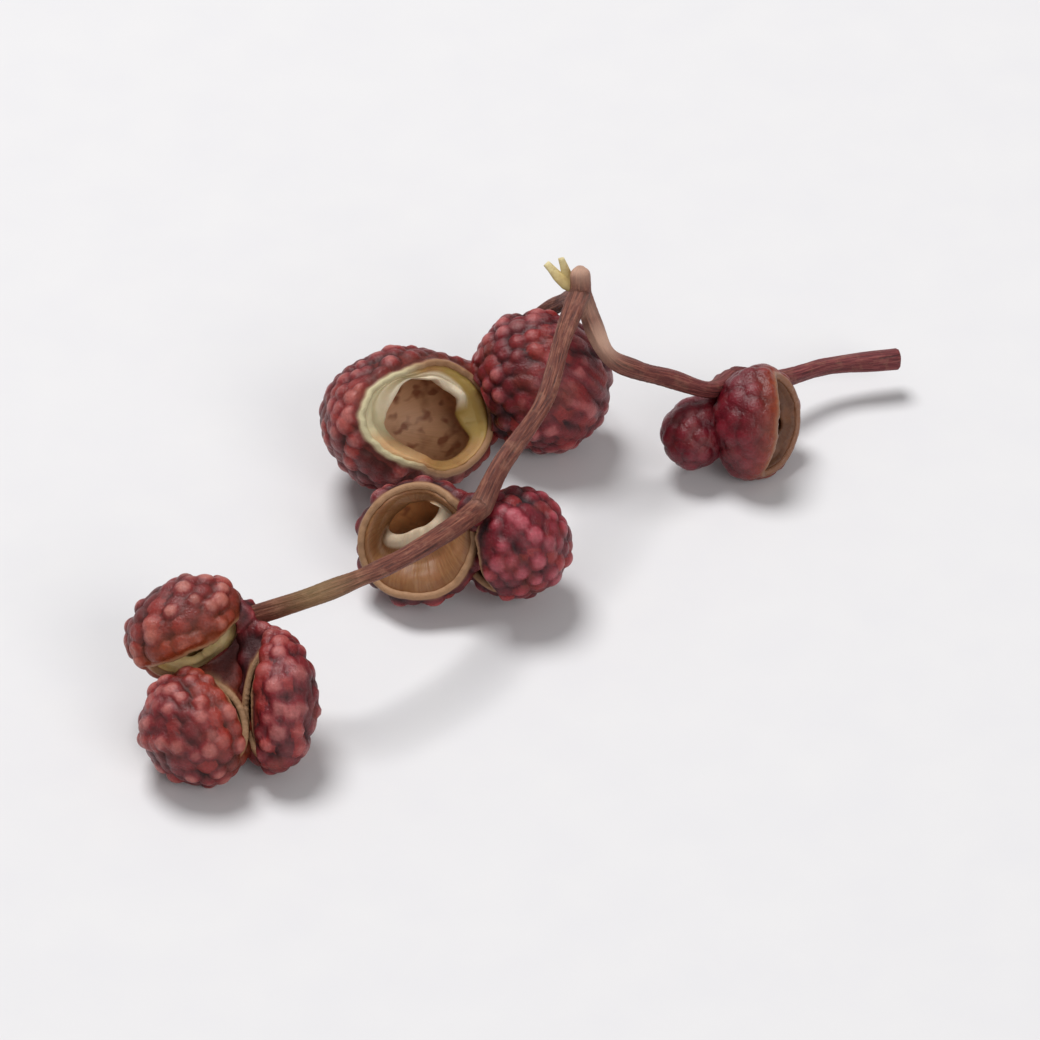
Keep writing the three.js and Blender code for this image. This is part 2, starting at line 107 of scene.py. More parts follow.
HUSKS = {
    "upper_open": husk(
        (-3.8, 1.05, 2.4), UPPER_SEAT, (0.68, -0.52, 0.52), (0, 0.64, 0.77),
        (3.05, 2.35, 2.45), (66, 57), 0.25, 11, 0.35, 1.0, 0.25, 1.0,
    ),
    "upper_closed": husk(
        (0.7, 3.05, 2.5), UPPER_SEAT, (0.45, 0.75, 0.35), (-0.6, 0, 0.8),
        (2.2, 2.35, 2.2), (13, 62), 0, 23, 0.5,
    ),
    "middle_open": husk(
        (-3.35, -5.15, 2.25), MIDDLE_SEAT, (-0.22, -0.75, 0.62), (0.9, 0, 0.44),
        (1.9, 2.1, 1.85), (80, 80), 0.1, 37, 0.45,
    ),
    "middle_red": husk(
        (-0.2, -5.3, 2.3), MIDDLE_SEAT, (-0.93, -0.28, 0.2), (0, 0.64, 0.77),
        (1.75, 1.72, 1.78), (26, 68), 0.1, 41, 0.9,
    ),
    "left_top": husk(
        (-10.85, -10.85, 3.35), LEFT_SEAT, (0.45, -0.8, -0.27), (0.93, 0.15, 0.2),
        (1.55, 1.9, 1.55), (32, 68), 0.15, 53, 0.1, 1.0, 1.0,
    ),
    "left_front": husk(
        (-10.5, -13.9, 1.7), LEFT_SEAT, (0.75, 0.2, 0.55), (-0.3, 0.64, 0.5),
        (1.65, 1.8, 1.66), (18, 62), 0, 61, 0.3, 1.0, 0.6,
    ),
    "left_side": husk(
        (-7.9, -13.15, 2.1), LEFT_SEAT, (-0.8, -0.2, 0.3), (-0.32, 0.61, 0.72),
        (1.42, 2.1, 1.12), (17, 62), 0, 79, 0.4,
    ),
    "right_open": husk(
        (8.1, 1.6, 1.87), RIGHT_SEAT, (0.88, -0.36, 0.12), (-0.12, 0.64, 0.77),
        (1.65, 1.9, 1.45), (40, 70), 0.2, 83, 0.95, 0.45, 0.9,
    ),
    "right_small": husk(
        (5.95, 1.45, 1.55), RIGHT_SEAT, (-0.6, 0.3, -0.5), (0.3, 1, 0.2),
        (1.05, 1.3, 1.05), (16, 60), 0, 97, 1.0, 0.45,
    ),
}
print(len(HUSKS), "husks")

# %% [markdown]
# ## From an angle to a point of the husk
# Every point of a husk has a direction from its middle. `tilt` is the angle from its back, where it is
# closed, and `turn` goes round. The lip lies where the mouth's lens begins. Near its seat the husk is drawn
# out in a neck, as the real one is where it grew from the stalk.

# %% The husk's smooth form
LENS = 1.75  # between an ellipse, 2, and a sharp-cornered lens, 1
FLARE_START = 0.55  # of the way from the back to the lip
NECK_WIDTH = 0.07  # how soon the pull to the seat fades away from it: 0 is a thread
NECK_DRAW = 0.6  # mm from the lip at which the skin is first drawn in full
NECK_PAST = 0.12  # mm that it goes on past the middle of the seat


def lip_tilt(husk, turn):
    """The lip's angle from the back of the husk."""
    across, along = husk["gape"]
    reach = np.abs(np.cos(turn) / across) ** LENS + np.abs(np.sin(turn) / along) ** LENS
    wave = 0.045 * np.sin(3 * turn + husk["seed"]) + 0.03 * np.sin(5 * turn - husk["seed"])
    return np.pi - reach ** (-1 / LENS) * (1 + wave)


def lip_turn(husk, even):
    """Spreads directions evenly along the lip."""
    across, along = husk["gape"]
    return np.arctan2(along * np.sin(even), across * np.cos(even)) % FULL_TURN


def direction(tilt, turn):
    return np.stack(
        [np.sin(tilt) * np.cos(turn), np.sin(tilt) * np.sin(turn), -np.cos(tilt)], axis=-1
    )


def ball_point(husk, d, inset):
    """A point of the smooth ball, inset from its outer face."""
    p = d * husk["half"]
    lip = lip_tilt(husk, np.arctan2(d[..., 1], d[..., 0]))
    tilt = np.arccos(np.clip(-d[..., 2], -1, 1))
    near_lip = smoothstep(tilt, FLARE_START * lip, lip)
    p[..., 0] += husk["flare"] * near_lip * d[..., 0]
    return p * (1 - inset / np.linalg.norm(p, axis=-1))[..., None]


def neck_at(husk, p):
    """How near the point is to the neck, from 0 to 1, and how far it is pulled to the seat."""
    seat = husk["axes"] @ (husk["seat"] - husk["centre"])
    far = np.linalg.norm(seat)
    reach = np.maximum(0, far - np.linalg.norm(p, axis=-1) + NECK_PAST)
    share = np.exp(-(1 - unit(p) @ (seat / far)) / NECK_WIDTH)
    return share, (reach * share)[..., None] * seat / far


def smooth_skin(husk, d):
    """A point of the skin before its warts, and how near the neck it is."""
    p = ball_point(husk, d, 0)
    tilt = np.arccos(np.clip(-d[..., 2], -1, 1))
    to_lip = (lip_tilt(husk, np.arctan2(d[..., 1], d[..., 0])) - tilt) * husk["half"].mean()
    share, pull = neck_at(husk, p)
    return p + pull * smoothstep(to_lip, 0, NECK_DRAW)[..., None], share


def to_world(husk, p):
    return husk["centre"] + p @ husk["axes"]


closed = HUSKS["upper_closed"]
print("the closed husk's lip:", round(math.degrees(lip_tilt(closed, 0))), "degrees from its back")

# %% [markdown]
# ## Warts
# The skin is full of round oil glands, each raised as a wart of 0.5 mm or so, packed like the grains of a
# raspberry. They could be a bump texture, but they show in the outline, so they are real relief. Their
# middles are spread evenly over the ball by the golden angle, then loosened, and each raises a low dome.
# Where two domes meet there is a crease. The longer a husk's neck is drawn out, the more warts are added on
# it.

# %% Where the warts are
WART_SPACING = 0.56
WART_HEIGHT = 0.24
GOLDEN = np.pi * (3 - np.sqrt(5))
NECK_WARTS = 14  # for each mm that the neck is drawn out
NECK_SPREAD = np.radians(38)


def draw(seed, n):
    """Repeatable numbers from -0.5 to 0.5 for the draws n of a husk."""
    x = np.sin(seed * 12.9898 + np.asarray(n) * 78.233) * 43758.5453
    return x - np.floor(x) - 0.5


def neck_directions(husk):
    """Directions of the warts on the neck, in a spiral round the way to the seat."""
    seat = husk["axes"] @ (husk["seat"] - husk["centre"])
    far = np.linalg.norm(seat)
    seat = seat / far
    count = round(NECK_WARTS * max(0, far - husk["half"].mean()))
    n = np.arange(count)
    lean = NECK_SPREAD * np.sqrt((n + 0.5) / max(1, count))
    a = unit(np.cross(seat, [0.3, 0.2, 0.9]))
    spiral = np.cos(GOLDEN * n)[:, None] * a + np.sin(GOLDEN * n)[:, None] * np.cross(seat, a)
    return np.cos(lean)[:, None] * seat + np.sin(lean)[:, None] * spiral


def wart_directions(husk):
    radius = husk["half"].mean()
    count = round(4 * np.pi * radius**2 / (WART_SPACING**2 * 0.87))
    n = np.arange(count)
    z = 1 - (2 * n + 1) / count
    flat = np.sqrt(1 - z * z)
    d = np.stack([flat * np.cos(GOLDEN * n), flat * np.sin(GOLDEN * n), z], axis=1)
    loose = np.stack([draw(husk["seed"], 3 * n + k) for k in range(3)], axis=1)
    d = unit(d + 0.5 * WART_SPACING / radius * loose)
    d = np.concatenate([d, neck_directions(husk)])
    tilt = np.arccos(np.clip(-d[:, 2], -1, 1))
    clear = 0.5 * WART_SPACING / radius
    return d[tilt < lip_tilt(husk, np.arctan2(d[:, 1], d[:, 0])) - clear]


print(sum(len(wart_directions(h)) for h in HUSKS.values()), "warts")

# %% [markdown]
# ### How high the skin stands
# Over each point of the skin the highest dome counts. Some warts have dried out and sunk in the middle.
# Points are taken a few thousand at a time, because a table of their distances to every wart would be
# large. Besides the warts the whole skin has shrivelled, so it also gets soft lumps, made of a few sine
# waves that run different ways.

# %% Wart heights and lumps
SUNK_SHARE = 0.12  # of the warts
SUNK_DEPTH = 0.3
POINTS_AT_A_TIME = 4000


def wart_relief(husk, base):
    """At each base point: its height above the smooth skin, how near the top of a wart it is, and a number
    that each wart has of its own."""
    tops, _ = smooth_skin(husk, wart_directions(husk))
    n = np.arange(len(tops))
    wide = WART_SPACING * (0.7 + 0.24 * draw(husk["seed"], n + 500))
    high = husk["rough"] * WART_HEIGHT * (0.9 + 0.6 * draw(husk["seed"], n + 900))
    sunk = np.where(draw(husk["seed"], n + 1300) > 0.5 - SUNK_SHARE, SUNK_DEPTH, 0.0)
    own = draw(husk["seed"], n + 1700) + 0.5
    flat_base = base.reshape(-1, 3)
    height, top, tone = (np.zeros(len(flat_base)) for _ in range(3))
    for start in range(0, len(flat_base), POINTS_AT_A_TIME):
        part = slice(start, start + POINTS_AT_A_TIME)
        away = np.linalg.norm(flat_base[part, None] - tops[None], axis=2) / wide
        dome = high * np.clip(1 - away**2, 0, 1) ** 0.8
        top[part] = dome.max(axis=1)
        tone[part] = own[dome.argmax(axis=1)]
        dome *= 1 - sunk * np.exp(-((away / 0.3) ** 2))
        height[part] = dome.max(axis=1)
    height, top, tone = (field.reshape(base.shape[:-1]) for field in (height, top, tone))
    return height, np.clip(top / WART_HEIGHT / husk["rough"], 0, 1), tone


def lumps(p, size, seed):
    """Smooth uneven lumps from -1 to 1, about size across."""
    total = np.zeros(p.shape[:-1])
    for k in range(6):
        way = unit(np.array([draw(seed, 7 * k + j) for j in (1, 2, 3)]))
        total += np.sin(p @ way * FULL_TURN / (size * (0.8 + 0.15 * k)) + 9 * draw(seed, k + 60))
    return total / 4


def uneven(p, kinds, seed):
    """Lumps of several kinds added up. Each has its height, its size and what it adds to the seed."""
    return sum(high * lumps(p, size, seed + more) for high, size, more in kinds)


tops, _ = smooth_skin(closed, wart_directions(closed))
print("the closed husk's highest wart:", round(float(wart_relief(closed, tops)[0].max()), 2), "mm")

# %% [markdown]
# ## Making a mesh from rings of points
# Husks and linings are both closed sheets that turn in on themselves: out along one face, round an edge and
# back along the other. So both are one grid of rings, with a point at each end.

# %% Mesh helpers


def ring_faces(rows, columns):
    """Faces of a grid closed round its columns, with a pole before its first row and one after its last."""
    r = np.arange(rows - 1)[:, None] * columns
    c = np.arange(columns)[None]
    n = (c + 1) % columns
    quads = np.stack([r + c, r + n, r + columns + n, r + columns + c], axis=-1).reshape(-1, 4)
    last = (rows - 1) * columns
    first_pole = np.full(columns, rows * columns)
    start = np.stack([first_pole, n[0], c[0]], axis=1)
    end = np.stack([first_pole + 1, last + c[0], last + n[0]], axis=1)
    return [quads, start, end]


def make_piece(name, points, faces, fields):
    """An object from points in millimetres before the shift. fields are named values, one for each point."""
    mesh = bpy.data.meshes.new(name)
    mesh.vertices.add(len(points))
    mesh.vertices.foreach_set("co", ((points + SHIFT) * MM).astype(np.float32).ravel())
    sizes = np.concatenate([np.full(len(f), f.shape[1]) for f in faces])
    corners = np.concatenate([f.ravel() for f in faces])
    mesh.loops.add(len(corners))
    mesh.loops.foreach_set("vertex_index", corners.astype(np.int32))
    mesh.polygons.add(len(sizes))
    starts = np.concatenate([[0], np.cumsum(sizes)[:-1]])
    mesh.polygons.foreach_set("loop_start", starts.astype(np.int32))
    mesh.polygons.foreach_set("use_smooth", np.ones(len(sizes), bool))
    mesh.update(calc_edges=True)
    mesh.validate()
    for field, values in fields.items():
        mesh.attributes.new(field, "FLOAT", "POINT").data.foreach_set("value", values.astype(np.float32))
    piece = bpy.data.objects.new(name, mesh)
    bpy.context.scene.collection.objects.link(piece)
    print(f"{name}: {len(points)} points")
    return piece


def gather(parts):
    """Joins (points, faces, fields) of several closed sheets into one."""
    points = np.concatenate([p for p, _, _ in parts])
    steps = np.cumsum([0] + [len(p) for p, _, _ in parts])
    faces = [f + step for step, (_, part, _) in zip(steps, parts) for f in part]
    fields = {k: np.concatenate([f[k] for _, _, f in parts]) for k in parts[0][2]}
    return points, faces, fields


# %% [markdown]
# ## The warty skin
# A husk's wall is 0.45 mm thick at the back and thins to a rounded lip. The rings run up its outer face,
# over the lip and back down its inner face. Each point keeps a few values for the material: how high it is
# on a wart, that wart's own tone with painted shade on the neck, how near the lip it is, how amber (partly
# painted light through the thin wall), green or waxy, and whether it is on the inner face.

# %% Outer face of a husk
HUSK_WALL = 0.45
LIP_WALL = 0.24
HUSK_ROUND = 168  # points round a ring
OUTER_ROWS, LIP_ROWS, INNER_ROWS = 104, 5, 22
SHRIVEL = [(0.07, 2.2, 0), (0.03, 0.9, 5)]


def wall_at(share):
    return HUSK_WALL + (LIP_WALL - HUSK_WALL) * smoothstep(share, 0.5, 1)


def outward(grid):
    """The way out of a closed grid of points, square to its surface."""
    up = np.gradient(grid, axis=0)
    across = np.roll(grid, -1, axis=1) - np.roll(grid, 1, axis=1)
    way = unit(np.cross(across, up))
    return way * np.sign((way * grid).sum(axis=-1).mean())


def outer_skin(husk, turn, lip, rows):
    """The outer face's points, the mean height round its back, and its fields for the material."""
    tilt = rows[:, None] * lip
    d = direction(tilt, np.broadcast_to(turn, tilt.shape))
    base, share = smooth_skin(husk, d)
    relief, wart, tone = wart_relief(husk, base)
    to_lip = (1 - rows)[:, None] * lip * husk["half"].mean()
    fade = smoothstep(to_lip, 0.02, 0.3) * (1 - 0.5 * share)  # no warts at the lip, low ones on the neck
    height = relief * fade + uneven(base, SHRIVEL, husk["seed"]) * smoothstep(to_lip, 0, 0.8)
    glow = 0.15 + 0.6 * husk["rough"]  # how far the amber spreads: less on a smooth husk
    fields = {
        "wart": 0.45 + (wart - 0.45) * fade * (0.4 + 0.6 * husk["rough"]),
        "tone": (0.5 + (tone - 0.5) * fade * husk["rough"]) * (1 - 0.9 * share),  # painted shade: darkest on the neck, in the gap between the lobes
        "amber": husk["amber"] * np.exp(-to_lip / glow) * (1 - 0.85 * share),
        "lip": np.exp(-to_lip / 0.13),
    }
    return base + outward(base) * height[..., None], relief[0].mean(), fields


# %% [markdown]
# ### The whole husk
# A half circle of rings joins the outer face to the inner one, so that the lip is rounded, not sharp as a
# knife. The lip is also a little torn, in two waves of different length. The inner face is plain, because
# a lining covers it or it is out of sight.

# %% Husk from lip to back


def husk_sheet(husk):
    turn = lip_turn(husk, np.arange(HUSK_ROUND) / HUSK_ROUND * FULL_TURN)
    torn = 0.014 * np.sin(13 * turn + husk["seed"]) * np.sin(4 * turn)
    lip = lip_tilt(husk, turn) + torn + 0.007 * np.sin(31 * turn + 2 * husk["seed"])
    outer = np.linspace(0.012, 1, OUTER_ROWS)
    bend = np.linspace(0, np.pi, LIP_ROWS + 2)[1:-1]
    inner = np.linspace(1, 0.02, INNER_ROWS)
    skin, back, shown = outer_skin(husk, turn, lip, outer)

    over = lip + 0.45 * LIP_WALL / husk["half"][2] * np.sin(bend)[:, None]
    rim_d = direction(over, np.broadcast_to(turn, over.shape))
    rim = ball_point(husk, rim_d, LIP_WALL / 2 * (1 - np.cos(bend))[:, None])

    under = inner[:, None] * lip
    wall_d = direction(under, np.broadcast_to(turn, under.shape))
    wall = ball_point(husk, wall_d, wall_at(inner)[:, None])

    pole = direction(np.zeros(1), np.zeros(1))
    poles = [ball_point(husk, pole, -back), ball_point(husk, pole, HUSK_WALL)]
    points = np.concatenate([skin.reshape(-1, 3), rim.reshape(-1, 3), wall.reshape(-1, 3), *poles])

    row_count = OUTER_ROWS + LIP_ROWS + INNER_ROWS
    counts = [rows * HUSK_ROUND for rows in (OUTER_ROWS, LIP_ROWS, INNER_ROWS)] + [1, 1]

    def stretches(*values):
        """A value for each point, given for the outer face, the rim, the inner face and the two poles."""
        return np.concatenate([np.broadcast_to(np.ravel(v), n) for v, n in zip(values, counts)])

    green = husk["green"] * smoothstep(-np.cos(turn), 0.1, 0.7)
    fields = {
        "wart": stretches(shown["wart"], 0, 0, 0, 0),
        "tone": stretches(shown["tone"], 0.5, 0.5, 0.5, 0.5),
        "amber": stretches(shown["amber"], 0, 0, 0, 0),
        "green": np.concatenate([np.tile(green, row_count), [0, 0]]),
        "wax": np.full(len(points), 1 - husk["rough"]),
        "lip": stretches(shown["lip"], 1, 0, 0, 0),
        "inner": stretches(0, 0.5, 1, 0, 1),
        "red": np.full(len(points), husk["red"]),
    }
    return to_world(husk, points), ring_faces(row_count, HUSK_ROUND), fields


print("the closed husk:", len(husk_sheet(closed)[0]), "points")

# %% [markdown]
# ## Husks that grew side by side
# In the fruit, neighbours press on each other, and each has a flat where they touch. The same is done here:
# what would reach into the open husk's hollow is pushed out to just inside its wall. What would lie below
# the table is pushed up to it.

# %% Pressing neighbours together
KNOT_RADIUS = 0.66
KNOT_ROWS, KNOT_ROUND = 22, 40


def press_out(points, open_husk):
    local = (points - open_husk["centre"]) @ open_husk["axes"].T
    d = unit(local / open_husk["half"])
    shell = np.linalg.norm(ball_point(open_husk, d, LIP_WALL * 0.5), axis=1)
    far = np.linalg.norm(local, axis=1)
    local *= np.maximum(1, shell / far)[:, None]
    return to_world(open_husk, local)


def seat_knot(seat, red):
    """The small knot in which the husks of a fruit meet."""
    tilt = np.linspace(0.08, np.pi - 0.08, KNOT_ROWS)[:, None] * np.ones(KNOT_ROUND)
    turn = np.broadcast_to(np.arange(KNOT_ROUND) / KNOT_ROUND * FULL_TURN, tilt.shape)
    d = np.concatenate([direction(tilt, turn).reshape(-1, 3), [[0, 0, -1], [0, 0, 1]]])
    knobbly = lumps(d, 0.5, 3)
    points = np.array(seat) + d * (KNOT_RADIUS + 0.07 * knobbly)[:, None]
    fields = {key: np.zeros(len(points)) for key in ("wart", "tone", "amber", "green", "wax", "lip", "inner")}
    fields["wart"] += np.clip(0.45 + 0.5 * knobbly, 0, 1)
    fields["tone"] += 0.5
    fields["red"] = np.full(len(points), red)
    return points, ring_faces(KNOT_ROWS, KNOT_ROUND), fields


FRUITS = {
    "upper_fruit": ["upper_open", "upper_closed"],
    "middle_fruit": ["middle_open", "middle_red"],
    "left_fruit": ["left_top", "left_front", "left_side"],
    "right_fruit": ["right_open", "right_small"],
}
skins = {}
for fruit, names in FRUITS.items():
    open_husk = HUSKS[names[0]]
    sheets = [husk_sheet(open_husk)]
    for sheet in [*(husk_sheet(HUSKS[n]) for n in names[1:]), seat_knot(open_husk["seat"], 0.5)]:
        sheets.append((press_out(sheet[0], open_husk), *sheet[1:]))
    points, faces, fields = gather(sheets)
    points[:, 2] = np.maximum(points[:, 2], 0)
    skins[fruit] = make_piece(f"{fruit}_skin", points, faces, fields)

# %% [markdown]
# ## The linings
# The lining is a sheet like parchment, thinner than the wall. Inside the husk it follows the wall, and past
# the lip it folds in over the hollow and ends in a rolled edge, thick and pale. It is made from the same
# grid of rings. `share` runs from 0 at the back to 1 at the lip and on to 2 at the rolled edge.

# %% Lining shapes
LINING_GAP = 0.06
LINING_WALL = 0.18
LINING_CLING = 0.09  # how much closer it comes to the wall at the lip
LINING_EDGE = 0.36  # the least width of the fold
FOLD_RISE = 0.16
FOLD_DROOP = 0.15  # where its edge isn't rolled
CRINKLES = [(0.04, 1.1, 0), (0.016, 0.4, 2)]
LINING_ROUND = 144
BOWL_ROWS, FOLD_ROWS, EDGE_ROWS = 40, 44, 9


def lining(hole, reach, lean, wave, sink, curl, bead, rolled, brown, cream):
    """hole is the middle of the opening that the lining leaves, across and along the seam, reach half its
    length and width, and lean its turn in degrees. wave is how uneven that opening is. sink is how deep its
    edge lies, curl how far that rises again, bead how thick it is, and rolled where it is so: the middle of
    that stretch and half its length, in degrees. brown is how brown its fold has dried, from straw over tan,
    and cream how pale its rolled edge is, both from 0 to 1."""
    return {
        "hole": hole, "reach": reach, "lean": math.radians(lean), "wave": wave, "sink": sink,
        "curl": curl, "bead": bead, "rolled": np.radians(rolled), "brown": brown, "cream": cream,
    }


LININGS = {
    "upper_fruit": lining((0.3, -0.1), (2.2, 1.3), -30, 0.05, 0.3, 0.55, 0.26, (98, 74), 0.3, 1.0),
    "middle_fruit": lining((-0.82, 0.18), (1.1, 0.56), 98, 0.06, 0.4, 0.4, 0.16, (15, 100), 0.9, 0.5),
    "left_fruit": lining((0.1, 0), (1.15, 0.42), 90, 0.1, 0.2, 0.1, 0.1, (0, 170), 0.0, 0.25),
    "right_fruit": lining((0.1, 0), (1.2, 0.52), 90, 0.1, 0.3, 0.15, 0.12, (180, 30), 1.0, 0.2),
}


def rolled_at(lining, turn):
    middle, half = lining["rolled"]
    return smoothstep(np.cos(turn - middle), np.cos(half) - 0.3, np.cos(half) + 0.3)


def lining_point(husk, lining, share, turn):
    tilt = lip_tilt(husk, turn)
    inside = np.minimum(share, 1)
    gap = LINING_GAP - LINING_CLING * smoothstep(inside, 0.8, 1)
    lip = ball_point(husk, direction(inside * tilt, turn), wall_at(inside) + gap)
    leaned = turn - lining["lean"]
    length, width = lining["reach"]
    wave = 1 + lining["wave"] * np.sin(3 * turn + husk["seed"])
    reach = wave / np.hypot(np.cos(leaned) / length, np.sin(leaned) / width)
    x = lining["hole"][0] + reach * np.cos(turn)
    y = lining["hole"][1] + reach * np.sin(turn)
    own = np.arctan2(y, x)
    rim = ball_point(husk, direction(lip_tilt(husk, own), own), LIP_WALL)
    room = (np.hypot(rim[..., 0], rim[..., 1]) - LINING_EDGE) / np.hypot(x, y)
    room = np.minimum(1, room)
    hole = np.stack([x * room, y * room, lip[..., 2]], axis=-1)
    across = np.maximum(0, share - 1)
    fold = np.minimum(1, np.linalg.norm(lip - hole, axis=-1))
    p = lip + (hole - lip) * across[..., None]
    p[..., 2] += fold * FOLD_RISE * np.sin(np.pi * np.minimum(1, across * 2))
    p[..., 2] -= fold * lining["sink"] * across
    rolled = rolled_at(lining, turn)
    p[..., 2] += fold * rolled * lining["curl"] * smoothstep(across, 0.6, 1)
    p[..., 2] -= fold * (1 - rolled) * FOLD_DROOP * across**2
    return p


# %% [markdown]
# ### The lining's two faces
# The inner face lies one wall inside the outer one. Past the lip it isn't enough to go inwards along the
# same way, because the sheet has turned over there, so the inner face is taken just below the outer one.
# The edge between the two is a half circle again, as thick as the sheet is at that place.

# %% Lining sheets


def lining_inside(husk, lining, share, turn):
    """The inner face: in the bowl just inside the outer one, past the bend at the lip just below it."""
    tilt = lip_tilt(husk, turn)
    lip = lining_point(husk, lining, np.ones_like(share), turn)
    bent = 1 - LINING_WALL / (tilt * np.linalg.norm(lip, axis=-1))
    inside = np.minimum(share, 1)
    bowl = ball_point(
        husk, direction(inside * bent * tilt, turn), wall_at(inside) + LINING_GAP + LINING_WALL
    )
    width = np.linalg.norm(lip - lining_point(husk, lining, np.full_like(share, 2), turn), axis=-1)
    bend = np.minimum(0.7, LINING_WALL / width)
    fold = lining_point(husk, lining, share + bend * (2 - share), turn)
    fold[..., 2] -= LINING_WALL + lining["bead"] * rolled_at(lining, turn) * smoothstep(share, 1.5, 2)
    past = smoothstep(share, 0.97, 1.03)[..., None]
    return bowl * (1 - past) + fold * past


def lining_sheet(husk, lining):
    turn = lip_turn(husk, np.arange(LINING_ROUND) / LINING_ROUND * FULL_TURN)[None]
    share = np.concatenate([np.linspace(0.03, 1, BOWL_ROWS), np.linspace(1, 2, FOLD_ROWS)[1:]])[:, None]
    share, turn = np.broadcast_arrays(share, turn)
    outer = lining_point(husk, lining, share, turn)
    inner = lining_inside(husk, lining, share, turn)
    crinkle = uneven(outer, CRINKLES, husk["seed"]) * smoothstep(share, 0.9, 1.2)
    crinkle = crinkle[..., None] * [0, 0, 1]
    outer, inner = outer + crinkle, inner + crinkle

    # The edge between the two faces is rounded, and as thick as the sheet is there.
    middle, half = (outer[-1] + inner[-1]) / 2, (outer[-1] - inner[-1]) / 2
    forward = unit(outer[-1] - outer[-4]) * np.linalg.norm(half, axis=-1, keepdims=True)
    bend = np.linspace(0, np.pi, EDGE_ROWS + 2)[1:-1]
    edge = [middle + half * np.cos(a) + forward * np.sin(a) for a in bend]
    pole = np.zeros(1)
    poles = [lining_point(husk, lining, pole, pole), lining_inside(husk, lining, pole, pole)]
    rows = [outer.reshape(-1, 3), np.concatenate(edge), inner[::-1].reshape(-1, 3)]
    points = np.concatenate([*rows, *poles])

    width = np.linalg.norm(outer[BOWL_ROWS - 1] - outer[-1], axis=-1)
    strong = lining["cream"] * rolled_at(lining, turn)
    rolled = strong * smoothstep((share - 2) * width, -0.42, -0.22)
    past = husk["green"] * smoothstep(share, 0.97, 1.1)
    green = past * smoothstep(-np.cos(turn), 0.1, 0.7)
    olive = past * smoothstep(np.cos(turn - 0.5), 0.5, 0.85)
    ochre = past * smoothstep(np.cos(turn - 4.0), 0.72, 0.98)

    def both_faces(values, at_edge):
        """A value for each point: the outer face, the rounded edge, the inner face and the two poles."""
        return np.concatenate([values.ravel(), np.tile(at_edge, EDGE_ROWS), values[::-1].ravel(), [0, 0]])

    fields = {
        "share": both_faces(share, share[-1]),
        "turn": both_faces(turn, turn[0]),
        "rolled": both_faces(rolled, strong[0]),
        "green": both_faces(green, green[-1]),
        "olive": both_faces(olive, olive[-1]),
        "ochre": both_faces(ochre, ochre[-1]),
        "brown": np.full(len(points), lining["brown"]),
    }
    faces = ring_faces(2 * len(share) + EDGE_ROWS, LINING_ROUND)
    return to_world(husk, points), faces, fields


linings = {
    fruit: make_piece(f"{fruit}_parchment", *lining_sheet(HUSKS[FRUITS[fruit][0]], shape))
    for fruit, shape in LININGS.items()
}

# %% [markdown]
# ## The stalk
# The stalk is 0.6 mm thick, with dried ribs along it and a small swelling at each fork. Each arm is a tube
# swept along a smooth curve. The tubes could simply cross at a fork, but the real one is grown together, so
# a remesh fuses them into one skin that flows from one arm into the next.

# %% Routes of the stalk
STALK_RADIUS = 0.31
PICKED_END = (13.05, 5.75, 1.35)
RIGHT_FORK = (7.3, 3.1, 2.6)
TOP_FORK = (2.05, 2.75, 6.6)
MIDDLE_FORK = (-1.35, -5.75, 4.2)
KNOB = (2.02, 2.9, 7.5)
ARMS = [
    ([PICKED_END, (10.6, 5.2, 1.45), (8.9, 4.1, 1.75), RIGHT_FORK], [1.25, 0.95, 1, 1.3]),
    (
        [RIGHT_FORK, (6.5, 2.0, 3.0), (5.1, 1.8, 3.65), (3.95, 1.45, 4.3), (3.0, 1.4, 4.95), TOP_FORK],
        [1.3, 0.95, 0.95, 0.95, 0.95, 1.1],
    ),
    (
        [TOP_FORK, (1.45, 0.7, 6.25), (0.75, -2.0, 5.6), (-0.75, -4.7, 5.0), MIDDLE_FORK],
        [1.2, 0.95, 0.95, 1, 1.2],
    ),
    (
        [MIDDLE_FORK, (-2.4, -7.5, 4.65), (-4.1, -9.25, 4.8), (-6.3, -10.7, 4.8), LEFT_SEAT],
        [1.2, 1.05, 0.95, 1, 1.1],
    ),
    ([TOP_FORK, KNOB], [1.1, 1.1]),
    (
        [TOP_FORK, (1.95, 3.7, 5.75), (1.5, 5.0, 4.4), (0.8, 5.8, 3.3), (-0.3, 5.6, 2.3), UPPER_SEAT],
        [1.2, 0.9, 0.9, 0.9, 0.95, 1.1],
    ),
    ([MIDDLE_FORK, MIDDLE_SEAT], [1.3, 1.1]),
    ([RIGHT_FORK, RIGHT_SEAT], [1.2, 1.1]),
]


def smooth_route(route, step=0.1):
    """Points a step apart on a smooth curve through the route. It leaves each point in line with its
    neighbours, and its spans are timed by the root of their length, so that it makes no loops."""
    p = np.array(route, float)
    p = np.concatenate([[2 * p[0] - p[1]], p, [2 * p[-1] - p[-2]]])
    dense = []
    for a, b, c, d in zip(p, p[1:], p[2:], p[3:]):
        ab, bc, cd = (np.sqrt(np.linalg.norm(v)) for v in (b - a, c - b, d - c))
        leave = ((b - a) / ab - (c - a) / (ab + bc) + (c - b) / bc) * bc
        arrive = ((c - b) / bc - (d - b) / (bc + cd) + (d - c) / cd) * bc
        t = np.linspace(0, 1, 40, endpoint=False)[:, None]
        dense.append(
            b + leave * t + (3 * (c - b) - 2 * leave - arrive) * t**2
            + (2 * (b - c) + leave + arrive) * t**3
        )
    dense = np.concatenate([*dense, p[-2:-1]])
    length = np.concatenate([[0], np.cumsum(np.linalg.norm(np.diff(dense, axis=0), axis=1))])
    even = np.linspace(0, length[-1], max(6, round(length[-1] / step)))
    return np.stack([np.interp(even, length, dense[:, k]) for k in range(3)], axis=1), even


